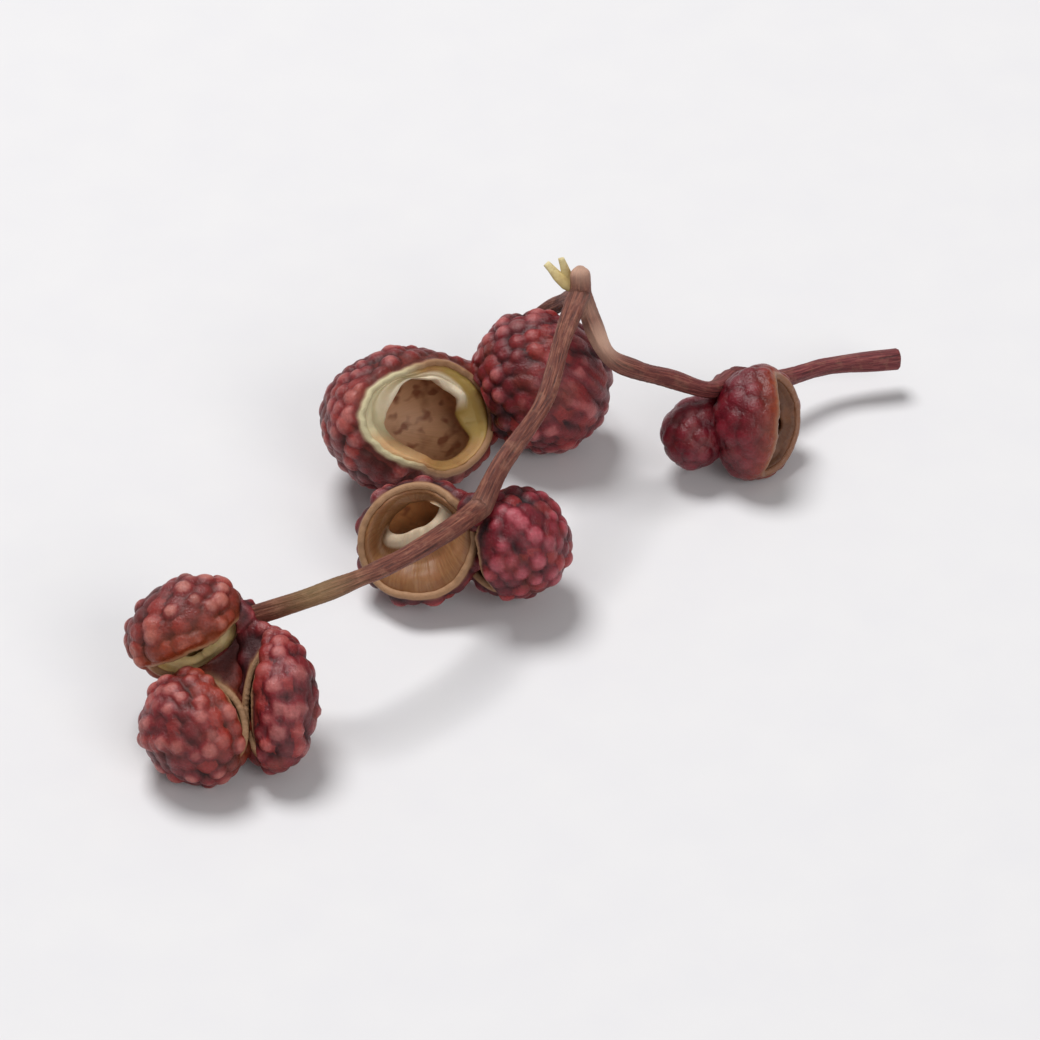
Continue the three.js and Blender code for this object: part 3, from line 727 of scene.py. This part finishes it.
def frames_along(line):
    """For each point of a line, its way on and two ways across that don't twist."""
    forward = unit(np.gradient(line, axis=0))
    start = np.cross(forward[0], [0.3, 0.2, 0.9])
    across = [unit(start)]
    for f in forward[1:]:
        across.append(unit(across[-1] - across[-1].dot(f) * f))
    across = np.array(across)
    return forward, across, np.cross(forward, across)


print(len(ARMS), "arms")

# %% Sweep the arms
SIDES = 28
FUSED_GRAIN = 0.075  # mm, the finest form that the fused stalk keeps


def arm_tube(route, swell, seed):
    line, even = smooth_route(route)
    forward, across, other = frames_along(line)
    radius = STALK_RADIUS * np.interp(even, np.linspace(0, even[-1], len(swell)), swell)
    if route[-1] == KNOB:
        past = np.clip((even - even[-1] + 0.2) / 0.28, 0, 1)
        radius *= np.sqrt(1 - past**2)
    turn = np.arange(SIDES) / SIDES * FULL_TURN
    ribs = 0.04 * np.cos(3 * turn + 0.4 * even[:, None])
    ribs = ribs + 0.016 * np.cos(7 * turn - 0.6 * even[:, None] + seed)
    knots = 0.03 * lumps(line, 1.6, seed)[:, None]
    reach = (radius[:, None] + ribs + knots)[..., None]
    ring = reach * (
        np.cos(turn)[:, None] * across[:, None] + np.sin(turn)[:, None] * other[:, None]
    )
    ends = [line[0] - forward[0] * 0.12, line[-1] + forward[-1] * 0.12]
    points = np.concatenate([(line[:, None] + ring).reshape(-1, 3), ends])
    return points, ring_faces(len(line), SIDES), {}


def fuse(parts):
    """One skin round several closed tubes, as points and triangles in millimetres."""
    points = np.concatenate([p for p, _, _ in parts])
    steps = np.cumsum([0] + [len(p) for p, _, _ in parts])
    faces = [(f + s).tolist() for s, (_, part, _) in zip(steps, parts) for f in part]
    rough = bpy.data.meshes.new("rough_stalk")
    rough.from_pydata(points.tolist(), [], [f for block in faces for f in block])
    holder = bpy.data.objects.new("rough_stalk", rough)
    bpy.context.scene.collection.objects.link(holder)
    remesh = holder.modifiers.new("fuse", "REMESH")
    remesh.mode = "VOXEL"
    remesh.voxel_size = FUSED_GRAIN
    soften = holder.modifiers.new("soften", "SMOOTH")
    soften.factor = 0.5
    soften.iterations = 3
    fused = holder.evaluated_get(bpy.context.evaluated_depsgraph_get()).to_mesh()
    found = np.zeros(len(fused.vertices) * 3)
    fused.vertices.foreach_get("co", found)
    fused.calc_loop_triangles()
    corners = np.zeros(len(fused.loop_triangles) * 3, int)
    fused.loop_triangles.foreach_get("vertices", corners)
    holder.to_mesh_clear()
    bpy.data.objects.remove(holder)
    bpy.data.meshes.remove(rough)
    return found.reshape(-1, 3), corners.reshape(-1, 3)


tubes = [arm_tube(route, swell, k + 1) for k, (route, swell) in enumerate(ARMS)]
stalk_points, stalk_faces = fuse(tubes)
print("fused stalk:", len(stalk_points), "points")

# %% [markdown]
# For its material each point of the stalk keeps how far along its arm it lies and at what angle round it,
# so that the bark's fibres can follow the arm. It also keeps how pale it is, as at the knob and near the
# forks, with a painted highlight on the elbow, and how much olive is left in it, as on the arm to the left
# fruit.

# %% Where each point of the stalk lies
PALE_SPOTS = [
    (KNOB, 0.5, 0.8),
    # painted highlight on the elbow just below the top fork
    ((2.7, 1.6, 5.4), 0.7, 0.75),
    ((2.2, 2.3, 6.1), 0.5, 0.5),
    (MIDDLE_FORK, 0.4, 0.3),
]
OLIVE_SPOTS = [((-6.6, -10.6, 4.7), 1.2, 0.55)]


def stalk_fields(points):
    best = np.full(len(points), np.inf)
    along, around = np.zeros(len(points)), np.zeros(len(points))
    for k, (route, _) in enumerate(ARMS):
        line, even = smooth_route(route, 0.2)
        _, across, other = frames_along(line)
        gap = np.linalg.norm(points[:, None] - line[None], axis=2)
        near = gap.argmin(axis=1)
        away = points - line[near]
        angle = np.arctan2((away * other[near]).sum(1), (away * across[near]).sum(1))
        closer = gap.min(axis=1) < best
        best = np.minimum(best, gap.min(axis=1))
        along[closer] = even[near[closer]] + 20 * k
        around[closer] = angle[closer]
    fields = {"along": along, "around": np.cos(around), "across": np.sin(around)}
    for name, spots in (("pale", PALE_SPOTS), ("olive", OLIVE_SPOTS)):
        fields[name] = np.zeros(len(points))
        for spot, size, much in spots:
            near_spot = much * np.exp(-(np.linalg.norm(points - spot, axis=1) / size) ** 2)
            fields[name] = np.maximum(fields[name], near_spot)
    fields["red"] = smoothstep(points[:, 0], 1.0, 9.0)
    return fields


bark = make_piece("stalk_bark", stalk_points, [stalk_faces], stalk_fields(stalk_points))

# %% [markdown]
# ## The scale leaf
# At the top fork a dried scale leaf is left, pale yellow and split in two. Each half is a small pointed
# blade. It is swept like the stalk, but flat and hollowed.

# %% Scale leaf
LEAF_BASE = (1.85, 2.8, 6.75)
LEAF_SIDES = 20


def leaf_blade(route, width, thick):
    line, even = smooth_route(route, 0.05)
    _, across, other = frames_along(line)
    share = even / even[-1]
    wide = width * np.interp(share, [0, 0.25, 0.6, 0.9, 1], [0.75, 1, 0.85, 0.45, 0.2])[:, None]
    turn = np.arange(LEAF_SIDES) / LEAF_SIDES * FULL_TURN
    sideways = wide * np.cos(turn)
    lift = thick * np.sin(turn) + 0.5 * sideways**2 / width
    ring = sideways[..., None] * across[:, None] + lift[..., None] * other[:, None]
    points = np.concatenate([(line[:, None] + ring).reshape(-1, 3), line[:1], line[-1:]])
    tip = np.concatenate([np.repeat(share, LEAF_SIDES), [0, 1]])
    return points, ring_faces(len(line), LEAF_SIDES), {"tip": tip}


leaf = make_piece(
    "scale_leaf",
    *gather([
        leaf_blade([LEAF_BASE, (1.35, 3.0, 7.1), (0.88, 3.2, 7.5)], 0.3, 0.13),
        leaf_blade([LEAF_BASE, (1.6, 3.15, 7.15), (1.38, 3.3, 7.65)], 0.24, 0.12),
    ]),
)

# %% [markdown]
# ## Materials
# A material is a small graph of nodes. One function adds a node, sets it and links it, so that each graph
# reads as a list. Patterns are measured in millimetres: the object's own coordinates, in metres, are
# multiplied by 1000 first, so a noise of scale 4 has grains about a quarter of a millimetre wide.

# %% Node helper
COLOURS = {"data_type": "RGBA"}  # for a Mix node: input 6 is the colour below, 7 the one laid over it
TIMES = {"operation": "MULTIPLY"}


def add(tree, kind, settings=None, out=0, stops=(), **inputs):
    """The output of a new node. Each input is a value, a screen colour or another node's output. It is named
    as on the node, with _ for a space, or numbered, as _6. stops are the places on a colour ramp, each with
    its colour or a share from 0 to 1."""
    node = tree.nodes.new("ShaderNode" + kind)
    for key, value in (settings or {}).items():
        setattr(node, key, value)
    elements = node.color_ramp.elements if stops else []
    while len(elements) < len(stops):
        elements.new(0.5)
    for element, (place, colour) in zip(elements, stops):
        element.position = place
        element.color = linear(colour) if isinstance(colour, str) else [colour] * 3 + [1]
    for key, value in inputs.items():
        socket = node.inputs[int(key[1:]) if key[1:].isdigit() else key.replace("_", " ")]
        if isinstance(value, bpy.types.NodeSocket):
            tree.links.new(value, socket)
        else:
            socket.default_value = linear(value) if isinstance(value, str) else value
    return node.outputs[out] if len(node.outputs) else None


# %% [markdown]
# ### Steps that every material takes
# A material's colour is built like a painter's, in layers: each is laid over the last, as much as a pattern
# or a value of the mesh says. It ends in one shader.

# %% Start, layers and end


def new_material(name, *values):
    """A material, its nodes, the object's own place in millimetres, and the named values of its mesh."""
    material = bpy.data.materials.new(name)
    material.use_nodes = True
    tree = material.node_tree
    tree.nodes.clear()
    metres = add(tree, "TexCoord", out="Object")
    mm = add(tree, "Mapping", Vector=metres, Scale=(1000, 1000, 1000))
    kept = [add(tree, "Attribute", {"attribute_name": value}, out="Fac") for value in values]
    return material, tree, mm, *kept


def lay_over(tree, colour, value, stops, over):
    """The colour with another laid over it. The stops say how much of that, from 0 to 1, a value gets."""
    share = add(tree, "ValToRGB", stops=stops, Fac=value)
    return add(tree, "Mix", COLOURS, 2, Factor=share, _6=colour, _7=over)


def finish_surface(tree, **settings):
    surface = add(tree, "BsdfPrincipled", **settings)
    add(tree, "OutputMaterial", Surface=surface)
    print(len(tree.nodes), "nodes in this material")


# %% [markdown]
# ### Dried pepper skin
# The skin dried from fresh red fruit. Its colour follows the height on each wart: dark maroon in the creases,
# which is partly painted shade, and dusty rose on the tops, where the wax and the dried oil glands are paler
# and a painted highlight is laid on as well. Each wart is a little lighter or darker than the next, the neck
# between the lobes is painted darker as shade, and a husk that dried smooth is a deeper red. Towards the lip
# some husks turn amber, partly their own colour and partly painted light shining through the thin wall, and
# the lip itself is tan. The skin is a waxed plant skin, so its IOR is 1.45. Its grain is a tenth of a
# millimetre.

# %% Skin colours
skin_material, tree, mm, wart, tone, wax, red, amber, green, lip, inner = new_material(
    "dried_pepper_skin", "wart", "tone", "wax", "red", "amber", "green", "lip", "inner"
)
patches = add(tree, "TexNoise", Vector=mm, Scale=0.7, Detail=3.0, Roughness=0.6)
grain = add(tree, "TexNoise", Vector=mm, Scale=9.0, Detail=4.0, Roughness=0.65)
# Colour by height on the wart: the dark maroon creases are partly painted shade, the pale rose tops partly
# painted highlight.
rose_stops = [(0.0, "#26060A"), (0.35, "#511013"), (0.75, "#83282A"), (1.0, "#BE766A")]
crimson_stops = [(0.0, "#1E030A"), (0.35, "#4E0615"), (0.75, "#7F1226"), (1.0, "#B44C5C")]
rose, crimson = (add(tree, "ValToRGB", stops=stops, Fac=wart) for stops in (rose_stops, crimson_stops))
skin_colour = add(tree, "Mix", COLOURS, 2, Factor=red, _6=rose, _7=crimson)
for value, stops, over in (
    # low tone: warts darker of their own, and painted shade on the neck between the lobes
    (tone, [(0.0, 0.55), (0.35, 0.0)], "#3C0F14"),
    (tone, [(0.7, 0.0), (0.95, 0.5)], "#A8322A"),
    (patches, [(0.54, 0.0), (0.74, 0.5)], "#943C26"),
    (wax, [(0.0, 0.0), (0.55, 0.5)], "#5E0418"),
):
    skin_colour = lay_over(tree, skin_colour, value, stops, over)
# Amber near the lip: partly the skin's own colour, partly painted light shining through the thin wall.
glow = add(tree, "Math", TIMES, _0=amber, _1=0.75)
skin_colour = add(tree, "Mix", COLOURS, 2, Factor=glow, _6=skin_colour, _7="#B0501E")
dust_stops = [(0.35, "#B49C98"), (0.7, "#FFFFFF")]
dust = add(tree, "ValToRGB", stops=dust_stops, Fac=grain)
dusted = {**COLOURS, "blend_type": "MULTIPLY"}
skin_colour = add(tree, "Mix", dusted, 2, Factor=0.55, _6=skin_colour, _7=dust)
print(len(tree.nodes), "nodes for the skin's colour")

# %% Colours of the lip and the inner face
lip_colour = add(tree, "Mix", COLOURS, 2, Factor=green, _6="#A87F5C", _7="#D0C59C")
lip_colour = lay_over(tree, lip_colour, wax, [(0.0, 0.0), (0.55, 0.6)], "#7A4430")
skin_colour = lay_over(tree, skin_colour, lip, [(0.35, 0.0), (0.97, 0.9)], lip_colour)
skin_colour = lay_over(tree, skin_colour, inner, [(0.5, 0.0), (0.9, 1.0)], "#8E6440")
print(len(tree.nodes), "nodes with the lip's")

# %% [markdown]
# ### The skin's gloss
# The creases are matt. The tops of the warts are a little polished from lying among other husks, and a husk
# that dried smooth keeps its wax and shines most. A thin coat gives that wax a glint of its own. The grain
# is a bump, because it is too fine to show in the outline.

# %% Skin gloss and grain
crease, polish = (
    add(tree, "ValToRGB", stops=stops, Fac=value)
    for value, stops in ((wart, [(0.1, 0.8), (0.65, 0.3)]), (grain, [(0.3, 0.58), (0.75, 0.28)]))
)
gloss = add(tree, "Mix", COLOURS, 2, Factor=0.5, _6=crease, _7=polish)
gloss = add(tree, "MapRange", Value=wax, From_Max=0.55, To_Min=gloss, To_Max=0.3)
relief = add(tree, "Bump", Height=grain, Distance=0.00007, Strength=0.6)
finish_surface(
    tree,
    Base_Color=skin_colour,
    Roughness=gloss,
    IOR=1.45,
    Coat_Weight=0.04,
    Coat_Roughness=0.35,
    Normal=relief,
)

# %% [markdown]
# ### Dried endocarp
# The lining is the fruit's inner wall, smooth and stiff like parchment. It is tan or orange in the hollow,
# with brown stains, straw to dark brown on the fold, and cream where its edge is rolled. On the upper
# fruit's fold some of the unripe green is left, pale, olive or ochre from place to place. Faint fibres run
# from the back to the edge. A smooth dry plant sheet has a roughness of about 0.5.

# %% Lining material
lining_material, tree, mm, share, turn, dried, green, olive, ochre, rolled = new_material(
    "dried_endocarp_parchment", "share", "turn", "brown", "green", "olive", "ochre", "rolled"
)
fibre_place = add(tree, "CombineXYZ", X=share, Y=turn)
stretched = add(tree, "Mapping", Vector=fibre_place, Scale=(1.2, 9.0, 1.0))
fibres, blotches, stains = (
    add(tree, "TexNoise", Vector=where, Scale=scale, Detail=detail, Roughness=roughness)
    for where, scale, detail, roughness in (
        (stretched, 2.0, 3.0, 0.6), (mm, 1.6, 2.0, 0.5), (mm, 2.3, 1.0, 0.4),
    )
)
half_share = add(tree, "Math", TIMES, _0=share, _1=0.5)
straw_stops = [(0.0, "#D8B88A"), (0.5, "#E2C47E"), (0.8, "#DCBA72")]
tan_stops = [(0.0, "#DCAC88"), (0.4, "#CC9A72"), (0.5, "#BA9058"), (0.8, "#B08650")]
brown_stops = [(0.0, "#CC7F44"), (0.4, "#B86E38"), (0.52, "#784628"), (0.8, "#6C3D22")]
straw, tan, brown = (
    add(tree, "ValToRGB", stops=stops, Fac=half_share) for stops in (straw_stops, tan_stops, brown_stops)
)
print(len(tree.nodes), "nodes for the lining's patterns")

# %% Lining colours in layers
lining_colour = straw
for value, stops, over in (
    (dried, [(0.0, 0.0), (0.3, 1.0)], tan),
    (dried, [(0.3, 0.0), (1.0, 1.0)], brown),
    (fibres, [(0.35, 0.0), (0.7, 0.3)], "#B48A5A"),
    (dried, [(0.92, 0.0), (1.0, 0.6)], "#4A2818"),
    (blotches, [(0.5, 0.0), (0.75, 0.55)], "#8A5634"),
):
    lining_colour = lay_over(tree, lining_colour, value, stops, over)
hollow, spot = (
    add(tree, "ValToRGB", stops=stops, Fac=value)
    for value, stops in ((half_share, [(0.35, 1.0), (0.5, 0.0)]), (stains, [(0.53, 0.0), (0.66, 0.8)]))
)
stained = add(tree, "Math", TIMES, _0=spot, _1=hollow)
lining_colour = add(tree, "Mix", COLOURS, 2, Factor=stained, _6=lining_colour, _7="#84462A")
for value, stops, over in (
    (green, [(0.1, 0.0), (0.9, 0.8)], "#D6CEA6"),
    (olive, [(0.1, 0.0), (0.9, 0.75)], "#B39A50"),
    (ochre, [(0.1, 0.0), (0.9, 0.7)], "#C8905C"),
    (rolled, [(0.1, 0.0), (0.8, 0.92)], "#ECDDC0"),
):
    lining_colour = lay_over(tree, lining_colour, value, stops, over)
relief = add(tree, "Bump", Height=fibres, Distance=0.00005, Strength=0.4)
finish_surface(
    tree,
    Base_Color=lining_colour,
    Roughness=0.5,
    IOR=1.45,
    Subsurface_Weight=0.08,
    Subsurface_Scale=0.0004,
    Normal=relief,
)

# %% [markdown]
# ### Dried stalk bark
# The stalk is a thin green twig that has dried red-brown. Its bark has shrunk into fine ribs along it, and
# it is paler where it is scuffed and at the forks, with a painted highlight on the elbow just below the top
# fork. It is matt, with a roughness of about 0.6.

# %% Bark material
bark_material, tree, mm, around, across, along, red, olive, pale = new_material(
    "dried_stalk_bark", "around", "across", "along", "red", "olive", "pale"
)
drawn_out = add(tree, "Math", TIMES, _0=along, _1=0.22)
bark_place = add(tree, "CombineXYZ", X=around, Y=across, Z=drawn_out)
ribs, scuffs = (
    add(tree, "TexNoise", Vector=where, Scale=scale, Detail=4.0, Roughness=roughness)
    for where, scale, roughness in ((bark_place, 5.0, 0.6), (mm, 2.2, 0.65))
)
brown_stops = [(0.3, "#38170F"), (0.5, "#6A3428"), (0.72, "#965F49")]
wine_stops = [(0.3, "#360F12"), (0.5, "#6A2428"), (0.72, "#96504B")]
brown, wine = (add(tree, "ValToRGB", stops=stops, Fac=ribs) for stops in (brown_stops, wine_stops))
bark_colour = add(tree, "Mix", COLOURS, 2, Factor=red, _6=brown, _7=wine)
bark_colour = lay_over(tree, bark_colour, scuffs, [(0.52, 0.0), (0.75, 0.5)], "#A2725A")
# pale: the knob and the forks, and a painted highlight on the elbow
for value, over in ((olive, "#8F7A4C"), (pale, "#E0B69E")):
    bark_colour = add(tree, "Mix", COLOURS, 2, Factor=value, _6=bark_colour, _7=over)
relief = add(tree, "Bump", Height=ribs, Distance=0.00012, Strength=0.7)
finish_surface(tree, Base_Color=bark_colour, Roughness=0.58, IOR=1.45, Normal=relief)

# %% [markdown]
# ### Dried scale leaf
# The scale leaf is a dry bract, straw yellow with a greener base. It has the papery roughness of straw.

# %% Leaf material
leaf_material, tree, mm, tip = new_material("dried_straw_bract", "tip")
veins = add(tree, "TexNoise", Vector=mm, Scale=5.0, Detail=3.0, Roughness=0.6)
leaf_stops = [(0.0, "#8F7A4A"), (0.5, "#C6B077"), (1.0, "#E2D3A0")]
leaf_colour = add(tree, "ValToRGB", stops=leaf_stops, Fac=tip)
leaf_colour = lay_over(tree, leaf_colour, veins, [(0.45, 0.0), (0.7, 0.5)], "#9A7A50")
relief = add(tree, "Bump", Height=veins, Distance=0.00004, Strength=0.5)
finish_surface(tree, Base_Color=leaf_colour, Roughness=0.6, IOR=1.45, Normal=relief)

# %% [markdown]
# ## Putting the pieces in place
# Each piece rides on the frame, takes its material and stands for the CAD node of the same form, which it
# hides.

# %% Place the pieces


def place(piece, material, slot, *nodes):
    piece.data.materials.append(material)
    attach(piece, "root")
    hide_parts(*nodes)


for fruit in FRUITS:
    place(skins[fruit], skin_material, "husk", f"{fruit}_husk")
    place(linings[fruit], lining_material, "lining", f"{fruit}_lining")
place(bark, bark_material, "stalk", "stalk")
place(leaf, leaf_material, "stalk", "stalk")

# %% [markdown]
# ## The table
# The sprig lies on a plain white table, far wider than the view, so that its edge never shows. It is matt,
# with the faintest cloudiness, so that nothing on it draws the eye.

# %% White table
floor_material, tree, mm = new_material("matt_white_table")
cloudy = add(tree, "TexNoise", Vector=mm, Scale=0.4, Detail=3.0)
floor_stops = [(0.3, "#DCDBDD"), (0.7, "#DEDDDE")]
floor_colour = add(tree, "ValToRGB", stops=floor_stops, Fac=cloudy)
finish_surface(tree, Base_Color=floor_colour, Roughness=0.75, IOR=1.4)
half_side = 3.0  # metres
floor_mesh = bpy.data.meshes.new("table_top")
corners = [(x * half_side, y * half_side, 0) for x, y in ((-1, -1), (1, -1), (1, 1), (-1, 1))]
floor_mesh.from_pydata(corners, [], [(0, 1, 2, 3)])
floor_mesh.materials.append(floor_material)
floor = bpy.data.objects.new("table_top", floor_mesh)
bpy.context.scene.collection.objects.link(floor)

# %% [markdown]
# ## Soft light
# A big soft light hangs above and a little behind, as over a product table, so that the tops of the warts
# are bright and their fronts fall into soft shade. A weaker one fills from the front right, into the open
# husks.

# %% Lamps and sky
AIM = Vector((0.0, 0.0002, 0.003))


def soft_light(name, place, size, power):
    lamp = bpy.data.lights.new(name, "AREA")
    lamp.shape = "DISK"
    lamp.size = size
    lamp.energy = power
    holder = bpy.data.objects.new(name, lamp)
    holder.location = place
    holder.rotation_euler = (AIM - Vector(place)).to_track_quat("-Z", "Y").to_euler()
    bpy.context.scene.collection.objects.link(holder)
    print(f"{name}: {size} m across, {power} W")


soft_light("overhead_softbox", (-0.1, 0.14, 0.4), 0.2, 1.6)
soft_light("front_fill", (0.22, -0.34, 0.28), 0.3, 0.8)
world = bpy.data.worlds.new("pale_studio")
world.use_nodes = True
world.node_tree.nodes["Background"].inputs["Color"].default_value = linear("#F4F3F3")
world.node_tree.nodes["Background"].inputs["Strength"].default_value = 0.32
bpy.context.scene.world = world
bpy.context.scene.view_settings.view_transform = "Standard"

# %% [markdown]
# ## Camera
# The camera looks down at 40 degrees, as the photograph does. It stands a quarter of a metre away with a
# long lens, because the sprig is under 3 cm long, and a near camera would swell its front.

# %% Camera
ELEVATION = math.radians(40)
DISTANCE = 0.255
camera_data = bpy.data.cameras.new("camera")
camera_data.sensor_width = 36.0
camera_data.lens = 265.0
camera_data.clip_start = 0.01
camera = bpy.data.objects.new("camera", camera_data)
camera.location = AIM + DISTANCE * Vector((0, -math.cos(ELEVATION), math.sin(ELEVATION)))
camera.rotation_euler = (AIM - camera.location).to_track_quat("-Z", "Y").to_euler()
bpy.context.scene.collection.objects.link(camera)
bpy.context.scene.camera = camera
print("camera at", [round(x, 3) for x in camera.location])
